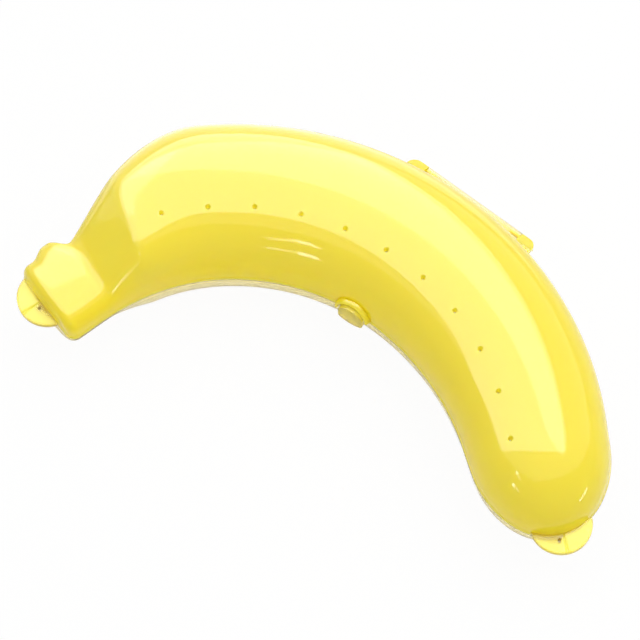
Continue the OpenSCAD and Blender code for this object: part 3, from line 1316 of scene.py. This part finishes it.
@dataclass
class Hinge:
    """Clear barrel on the base between two yellow ears of the lid."""

    form: BananaForm
    lid_finish: Plastic = YELLOW
    base_finish: Plastic = CLEAR
    barrel_l: float = 33.6
    barrel_r: float = 1.3
    shrink: float = 0.01
    pin_r: float = 0.6
    bore_r: float = 0.65
    pin_l: float = 3.3
    drop: float = 1.2
    ear_w: float = 5.4
    ear_t: float = 1.5
    gap: float = 0.3
    bury: float = 0.9
    ear_round: float = 0.5
    ear_corner: tuple[float, float] = (3.6, 3.4)
    barrel_round: float = 0.2
    knuckle_steps: int = 32
    corner_steps: int = 16
    web_steps: int = 24
    tool_past: float = 1.0

    @property
    def axis_y(self) -> float:
        """Sideways place of the hinge axis."""
        return self.form.body_w / 2 + self.gap + self.barrel_r

    @property
    def axis_z(self) -> float:
        """Height of the hinge axis."""
        return self.form.part_z - self.drop

    def bar(self, name: str, start: float, length: float, r: float) -> bpy.types.Object:
        """Makes a round bar on the hinge axis, from a place along X."""
        return Moulder.rod(name, np.array((start, self.axis_y, self.axis_z)), ALONG_HINGE, length, r)

    def knuckle(self, name: str, x0: float, low: float) -> bpy.types.Object:
        """Makes the round end of an ear with the riser that leads up from it.

        Args:
            name: Name of the piece.
            x0: Place where it starts along the hinge.
            low: Height of the underside of the ear's plate.

        Returns:
            The knuckle.
        """
        r, high = self.barrel_r - self.shrink, low + self.ear_t
        back = self.axis_y - 2 * r
        rise, run = high - self.axis_z, self.axis_y - back
        slope = math.atan2(rise, run) - math.asin(r / math.hypot(rise, run))
        a = np.linspace(math.pi / 2 - slope, -math.pi, self.knuckle_steps)
        y = np.concatenate([[back, back], self.axis_y + r * np.cos(a), [self.axis_y - r]])
        z = np.concatenate([[low, high], self.axis_z + r * np.sin(a), [low]])
        ends = [np.column_stack([np.full(len(y), x), y, z]) for x in (x0, x0 + self.ear_w)]
        return Moulder.prism(name, *[end[::-1] for end in ends])

    def wall_line(self, x: np.ndarray) -> np.ndarray:
        """Places on the convex wall, just inside its surface, at distances along the hinge."""
        out = self.form.bend_r + self.form.body_w / 2 - self.bury
        return np.sqrt(out**2 - x**2) - self.form.bend_r

    def far_corner(self, end: End) -> bpy.types.Object:
        """Makes the tool that rounds off the outer corner of an ear, seen from above.

        Args:
            end: The end of the case that the ear is nearer to.

        Returns:
            The tool.
        """
        long, deep = self.ear_corner
        x = end.value * (self.barrel_l / 2 + self.gap + self.ear_w)
        y = self.axis_y + self.barrel_r
        a = np.linspace(0, np.pi / 2, self.corner_steps)
        bow = np.column_stack([x - end.value * long * (1 - np.cos(a)), y - deep * (1 - np.sin(a))])
        far, beside = x + end.value * self.tool_past, y + self.tool_past
        plan = np.concatenate([bow, [(bow[-1, 0], beside), (far, beside), (far, bow[0, 1])]])
        rows = [np.column_stack([plan, np.full(len(plan), z)]) for z in (0.0, 2 * self.form.part_z)]
        return Moulder.prism("corner", *(rows if end is End.STEM else [row[::-1] for row in rows]))

    def web(self, name: str, x0: float, x1: float, low: float, high: float,
            out: float) -> bpy.types.Object:
        """Makes a level plate that stands out from the convex wall.

        Args:
            name: Name of the piece.
            x0: Place where it starts along the hinge.
            x1: Place where it ends along the hinge.
            low: Height of its underside.
            high: Height of its top.
            out: Sideways place of its outer edge.

        Returns:
            The plate.
        """
        x = np.linspace(x0, x1, self.web_steps)
        wall = np.stack([x, self.wall_line(x)], axis=1)
        plan = np.concatenate([wall[::-1], [(x0, out), (x1, out)]])
        rows = [np.column_stack([plan, np.full(len(plan), z)]) for z in (low, high)]
        return Moulder.prism(name, *[row[::-1] for row in rows])

    def ear(self, end: End, name: str, node: str) -> bpy.types.Object:
        """Builds and dresses one ear with its stub pin.

        Args:
            end: The end of the case that the ear is nearer to.
            name: Name of the piece.
            node: CAD node that it stands for.

        Returns:
            The ear.
        """
        near = self.barrel_l / 2 + self.gap
        x0 = near if end is End.TIP else -near - self.ear_w
        low = self.form.plate_z
        ear = self.knuckle(name, x0, low)
        out = self.axis_y - 2 * self.barrel_r
        plate = self.web("web", x0, x0 + self.ear_w, low, low + self.ear_t, out)
        Moulder.combine(ear, plate, Solid.ADD)
        Moulder.combine(ear, self.far_corner(end), Solid.CUT)
        Moulder.round_edges(ear, self.ear_round, steps=4, angle=JOINED_ANGLE)
        inner = near - self.gap - self.pin_l
        start = inner if end is End.TIP else -near - self.gap
        pin = self.bar("pin", start, near + self.gap - inner, self.pin_r)
        Moulder.combine(ear, pin, Solid.ADD)
        Moulder.shade(ear, JOINED_ANGLE)
        Moulder.paint(ear, LIGHT_AND_SHADE_LAYER, 0.0)
        self.lid_finish.dress(ear, Body.LID, node)
        return ear

    def barrel(self) -> bpy.types.Object:
        """Builds and dresses the barrel with the plate that carries it.

        Returns:
            The barrel.
        """
        half = self.barrel_l / 2
        r = self.barrel_r - self.shrink
        barrel = self.bar("hinge_tube", -half, self.barrel_l, r)
        web = self.web("web", -half, half, self.axis_z - r, self.axis_z, self.axis_y)
        Moulder.combine(barrel, web, Solid.ADD)
        bore = self.bar("bore", -self.barrel_l, 2 * self.barrel_l, self.bore_r)
        Moulder.combine(barrel, bore, Solid.CUT)
        Moulder.round_edges(barrel, self.barrel_round, steps=2, angle=JOINED_ANGLE)
        Moulder.paint(barrel, LIGHT_AND_SHADE_LAYER, 0.0)
        self.base_finish.dress(barrel, Body.BASE, "hinge_barrel")
        return barrel

    def build(self) -> list[bpy.types.Object]:
        """Builds the barrel and both ears.

        Returns:
            The barrel and the ears.
        """
        return [
            self.barrel(),
            self.ear(End.STEM, "stem_side_ear", "hinge_ear_stem"),
            self.ear(End.TIP, "tip_side_ear", "hinge_ear_tip"),
        ]


@dataclass
class Latch:
    """Clear tongue on the base under a yellow arch on the lid."""

    form: BananaForm
    lid_finish: Plastic = YELLOW
    base_finish: Plastic = SHADED_CLEAR
    angle: float = 5.5
    tongue_w: float = 8.0
    tongue_up: float = 4.6
    tongue_down: float = 4.6
    tongue_foot: float = 0.5
    tongue_t: float = 1.2
    tongue_gap: float = 0.5
    foot_gap: float = 0.3
    tongue_shade: float = 0.2
    arch_glow: float = 0.3
    arch_gap: float = 0.4
    arch_w: float = 1.4
    arch_out: float = 1.3
    arch_bury: float = 0.5
    arch_foot: float = 1.5
    arch_steps: int = 49
    arch_sides: int = 20
    arch_round: float = 0.2
    arch_sharp: float = 60.0
    tongue_round: float = 0.55
    dome_steps: int = 40
    heel_steps: int = 33
    overlap: float = 0.1

    @property
    def place(self) -> float:
        """Place of the latch on the middle line."""
        return -self.form.bend_r * math.radians(self.angle)

    def local(self, x: np.ndarray, depth: np.ndarray, z: np.ndarray) -> np.ndarray:
        """Points in the flat plane of the latch.

        Args:
            x: Distances along the case.
            depth: Distances from the middle line towards the concave side.
            z: Heights above the parting plane.

        Returns:
            The points.
        """
        s = np.array(self.place)
        a = float(self.form.turn(s))
        middle = self.form.at(s, np.array(0.0), np.array(self.form.part_z))
        along = np.array((math.cos(a), -math.sin(a), 0.0))
        inward = np.array((-math.sin(a), -math.cos(a), 0.0))
        x, depth, z = (np.asarray(v, float)[..., None] for v in np.broadcast_arrays(x, depth, z))
        return middle + x * along + depth * inward + z * UP

    def dome(self, grow: float, down: float, steps: int) -> np.ndarray:
        """Round top of the tongue with straight sides.

        Args:
            grow: Distance that the outline is moved out by.
            down: Depth of the lower ends of the sides.
            steps: Number of points on the round top.

        Returns:
            Distances along the case and heights.
        """
        r = self.tongue_w / 2 + grow
        rise = self.tongue_up - self.tongue_w / 2
        a = np.linspace(0, np.pi, steps)
        arc = np.column_stack([r * np.cos(a), rise + r * np.sin(a)])
        return np.concatenate([[(r, -down)], arc, [(-r, -down)]])

    def heel(self) -> np.ndarray:
        """Round lower end of the tongue.

        Returns:
            Distances along the case and heights.
        """
        r = self.tongue_w / 2
        a = np.linspace(np.pi, 2 * np.pi, self.heel_steps)
        low = self.tongue_down - self.tongue_foot * r
        return np.column_stack([r * np.cos(a), self.tongue_foot * r * np.sin(a) - low])

    def plate(self, name: str, flat: np.ndarray, near: float, far: float) -> bpy.types.Object:
        """Makes a plate with an outline in the plane of the latch, between two distances."""
        ends = [self.local(flat[:, 0], np.array(d), flat[:, 1]) for d in (far, near)]
        return Moulder.prism(name, *ends)

    def tongue(self) -> bpy.types.Object:
        """Builds and dresses the tongue with its foot.

        Returns:
            The tongue.
        """
        near = self.form.body_w / 2 + self.tongue_gap
        heel, half, low = self.heel(), self.tongue_w / 2, -self.tongue_down / 2
        top = np.array([(half, low), (-half, low)])
        whole = np.concatenate([self.dome(0, 0, self.dome_steps)[1:-1], heel])
        tongue = self.plate("latch_tab", whole, near, near + self.tongue_t)
        back = near - self.tongue_gap + self.foot_gap
        foot = self.plate("foot", np.concatenate([top, heel]), back, near + self.overlap)
        Moulder.combine(tongue, foot, Solid.ADD)
        Moulder.round_edges(tongue, self.tongue_round, steps=3, angle=JOINED_ANGLE)
        # Painted shade over the whole tongue.
        Moulder.paint(tongue, LIGHT_AND_SHADE_LAYER, self.tongue_shade)
        self.base_finish.dress(tongue, Body.LATCH, "latch_tongue")
        return tongue

    def arch(self) -> bpy.types.Object:
        """Builds and dresses the rounded ridge that frames the tongue's top.

        Returns:
            The ridge.
        """
        form = self.form
        grow, foot = self.arch_gap + self.arch_w / 2, self.arch_foot * form.rim_gap
        path = self.dome(grow, -foot, self.arch_steps)
        inner = form.bend_r - form.body_w / 2
        s = self.place + form.bend_r * np.arcsin(path[:, 0] / inner)
        rise = path[:, 1] - form.rim_gap / 2
        at = form.at(s, form.wall_y(s, rise, Side.CONCAVE, Half.LID), form.rim_z(Half.LID) + rise)
        a = form.turn(s)
        outward = np.column_stack([-np.sin(a), -np.cos(a), 0 * a])
        along = np.gradient(at, axis=0)
        along /= np.linalg.norm(along, axis=1, keepdims=True)
        across = np.cross(along, outward)
        across /= np.linalg.norm(across, axis=1, keepdims=True)
        turn = np.linspace(0, 2 * np.pi, self.arch_sides, endpoint=False)
        wide = np.cos(turn) * self.arch_w / 2
        out = np.where(np.sin(turn) > 0, self.arch_out, self.arch_bury) * np.sin(turn)
        points = at[:, None] + wide[:, None] * across[:, None] + out[:, None] * outward[:, None]
        arch = Moulder.sweep("latch_ridge", points)
        Moulder.round_edges(arch, self.arch_round, steps=2, angle=self.arch_sharp)
        # Painted light: a deeper golden glow over the ridge.
        Moulder.paint(arch, LIGHT_AND_SHADE_LAYER, self.arch_glow)
        self.lid_finish.dress(arch, Body.LID, "latch_arch")
        return arch

    def build(self) -> list[bpy.types.Object]:
        """Builds the tongue and its arch."""
        return [self.tongue(), self.arch()]


@dataclass(frozen=True)
class Softbox:
    """A rectangular lamp in metres, with its brightness beside white.

    Its facing is the way it shines, and its run is the way its length lies.
    """

    name: str
    role: Role
    place: tuple[float, float, float]
    facing: tuple[float, float, float]
    run: tuple[float, float, float]
    width: float
    length: float
    bright: float

    def light(self) -> bpy.types.Object:
        """Makes the lamp, which the camera doesn't see.

        Returns:
            The lamp.
        """
        data = bpy.data.lights.new(self.name, "AREA")
        data.shape = "RECTANGLE"
        data.size, data.size_y = self.width, self.length
        data.energy = self.bright * math.pi * self.width * self.length
        lamp = bpy.data.objects.new(self.name, data)
        bpy.context.scene.collection.objects.link(lamp)
        back = -Vector(self.facing).normalized()
        across = Vector(self.run).cross(back).normalized()
        turn = Matrix((across, back.cross(across), back)).transposed()
        lamp.matrix_world = Matrix.Translation(self.place) @ turn.to_4x4()
        lamp.visible_camera = False
        lamp.visible_glossy = self.role is Role.MIRROR
        lamp.visible_diffuse = lamp.visible_transmission = self.role is Role.LIGHT
        return lamp


@dataclass
class Studio:
    """Floor, lamps, surroundings and camera."""

    azimuth: float = 38.4
    elevation: float = 68.0
    distance: float = 0.9
    aim: tuple[float, float, float] = (-0.01206, -0.03143, 0.02115)
    focal_px: float = 3150.0
    image_px: float = 640.0
    sensor: float = 36.0
    clip: tuple[float, float] = (0.01, 20.0)
    floor_size: float = 4.0
    floor_drop: float = 0.0002
    floor_colour: tuple[float, float, float, float] = (0.92, 0.92, 0.9, 1.0)
    floor_white: float = 0.95
    floor_mirrored: float = 0.2
    fill: float = 0.63
    lamps: list[Softbox] = field(default_factory=lambda: [
        Softbox("overhead_softbox", Role.LIGHT, place=(0.05, 0.2, 0.75),
                facing=(-0.07, -0.29, -0.95), run=(0.0, 1.0, 0.0),
                width=0.9, length=0.9, bright=1.54),
        Softbox("mirrored_panel", Role.MIRROR, place=(-0.4105, 0.6391, 0.1474),
                facing=(0.468, 0.167, -0.868), run=(0.552, -0.822, 0.139),
                width=0.51, length=1.674, bright=3.8),
        Softbox("mirrored_strip", Role.MIRROR, place=(1.667, 1.172, 4.402),
                facing=(0.884, -0.224, -0.411), run=(0.447, 0.146, 0.882),
                width=0.648, length=9.435, bright=3.0),
        Softbox("short_strip", Role.MIRROR, place=(-0.3336, 0.1149, 0.2207),
                facing=(-0.188, 0.107, -0.976), run=(-0.727, 0.653, 0.212),
                width=0.117, length=0.539, bright=3.0),
        Softbox("mirrored_wall", Role.MIRROR, place=(0.366, 1.209, 0.226),
                facing=(0.55, -0.376, -0.745), run=(0.538, -0.523, 0.661),
                width=3.97, length=5.65, bright=1.0),
        Softbox("mirrored_table", Role.MIRROR, place=(-0.265, 0.199, 0.004),
                facing=(0.0, 0.0, 1.0), run=(0.75, 0.66, 0.0),
                width=0.52, length=0.38, bright=1.0),
        Softbox("high_glint", Role.MIRROR, place=(0.0127, -0.186, 0.1445),
                facing=(-0.19, 0.824, -0.533), run=(-0.94, -0.06, 0.34),
                width=0.02, length=0.016, bright=9.0),
        Softbox("low_glint", Role.MIRROR, place=(0.0193, -0.214, 0.076),
                facing=(-0.236, 0.95, -0.2), run=(-0.95, -0.23, 0.15),
                width=0.02, length=0.017, bright=11.0),
        Softbox("high_streak", Role.MIRROR, place=(0.032, -0.1865, 0.135),
                facing=(-0.32, 0.81, -0.49), run=(-0.94, -0.06, 0.34),
                width=0.012, length=0.02, bright=4.0),
        Softbox("low_streak", Role.MIRROR, place=(0.0416, -0.208, 0.0735),
                facing=(-0.36, 0.91, -0.19), run=(-0.95, -0.23, 0.15),
                width=0.012, length=0.02, bright=4.5),
        Softbox("tip_streak", Role.MIRROR, place=(0.276, -0.004, 0.018),
                facing=(-0.99, -0.1, 0.07), run=(0.13, -0.97, -0.2),
                width=0.018, length=0.066, bright=6.5),
    ])

    @staticmethod
    def seen(tree: Tree, mirrored: float = 1.0) -> Socket:
        """Value for rays that show the surroundings: straight, through glass or mirrored.

        Args:
            tree: The node tree.
            mirrored: Value for mirrored rays, beside 1 for the others.

        Returns:
            The socket with the value.
        """
        path = tree.nodes.new("ShaderNodeLightPath").outputs
        value = maths(tree, "MULTIPLY", path["Is Glossy Ray"], mirrored)
        for name in ("Is Camera Ray", "Is Transmission Ray"):
            value = maths(tree, "MAXIMUM", value, path[name])
        return value

    def floor(self) -> bpy.types.Object:
        """Makes the white floor, which keeps a soft shadow.

        Returns:
            The floor.
        """
        half = self.floor_size / 2 / MM
        signs = ((-1, -1), (1, -1), (1, 1), (-1, 1))
        corners = np.array([(half * x, half * y, 0.0) for x, y in signs])
        floor = Moulder.piece("floor", corners - (0, 0, self.floor_drop / MM), [(0, 1, 2, 3)])
        material = bpy.data.materials.new("white_floor")
        material.use_nodes = True
        tree = material.node_tree
        shader = tree.nodes["Principled BSDF"]
        matt = {"Base Color": self.floor_colour, "Roughness": 1.0, "Specular IOR Level": 0.0}
        feed(tree, shader, matt)
        white = tree.nodes.new("ShaderNodeEmission")
        share = maths(tree, "MULTIPLY", self.seen(tree, self.floor_mirrored), self.floor_white)
        mixed = {"Fac": share, 1: shader.outputs["BSDF"], 2: white.outputs["Emission"]}
        mix = add_node(tree, "ShaderNodeMixShader", mixed)
        feed(tree, tree.nodes["Material Output"], {"Surface": mix.outputs["Shader"]})
        floor.data.materials.append(material)
        return floor

    def surroundings(self) -> None:
        """Sets the world: white where it is seen, a soft fill as light."""
        world = bpy.data.worlds.new("studio")
        world.use_nodes = True
        tree = world.node_tree
        ends = {"Value": self.seen(tree), "To Min": self.fill, "To Max": 1.0}
        level = add_node(tree, "ShaderNodeMapRange", ends)
        light = {"Color": (1.0, 1.0, 1.0, 1.0), "Strength": level.outputs["Result"]}
        feed(tree, tree.nodes["Background"], light)
        bpy.context.scene.world = world

    def camera(self) -> bpy.types.Object:
        """Makes the camera at the photograph's angle.

        Returns:
            The camera.
        """
        a, e = math.radians(self.azimuth), math.radians(self.elevation)
        back = Vector((math.sin(a) * math.cos(e), -math.cos(a) * math.cos(e), math.sin(e)))
        data = bpy.data.cameras.new("camera")
        data.sensor_width = self.sensor
        data.lens = self.focal_px / self.image_px * self.sensor
        data.clip_start, data.clip_end = self.clip
        camera = bpy.data.objects.new("camera", data)
        bpy.context.scene.collection.objects.link(camera)
        camera.location = Vector(self.aim) + back * self.distance
        camera.rotation_mode = "QUATERNION"
        camera.rotation_quaternion = (-back).to_track_quat("-Z", "Y")
        bpy.context.scene.camera = camera
        return camera

    def build(self) -> None:
        """Builds the studio."""
        bpy.context.scene.view_settings.view_transform = "Standard"
        self.floor()
        self.surroundings()
        for lamp in self.lamps:
            lamp.light()
        self.camera()


def main() -> None:
    """Builds the case and its studio."""
    logging.basicConfig(level=logging.INFO, format="%(message)s")
    form = BananaForm()
    Studio().build()
    Lid(form).build()
    Base(form).build()
    FingerTab(form, End.STEM, "stem_tab", "finger_tab_stem", inset=2.6, side=2.3).build()
    FingerTab(form, End.TIP, "tip_tab", "finger_tab_tip", inset=3.3, side=1.0).build()
    Hinge(form).build()
    Latch(form).build()


if __name__ == "__main__":
    main()
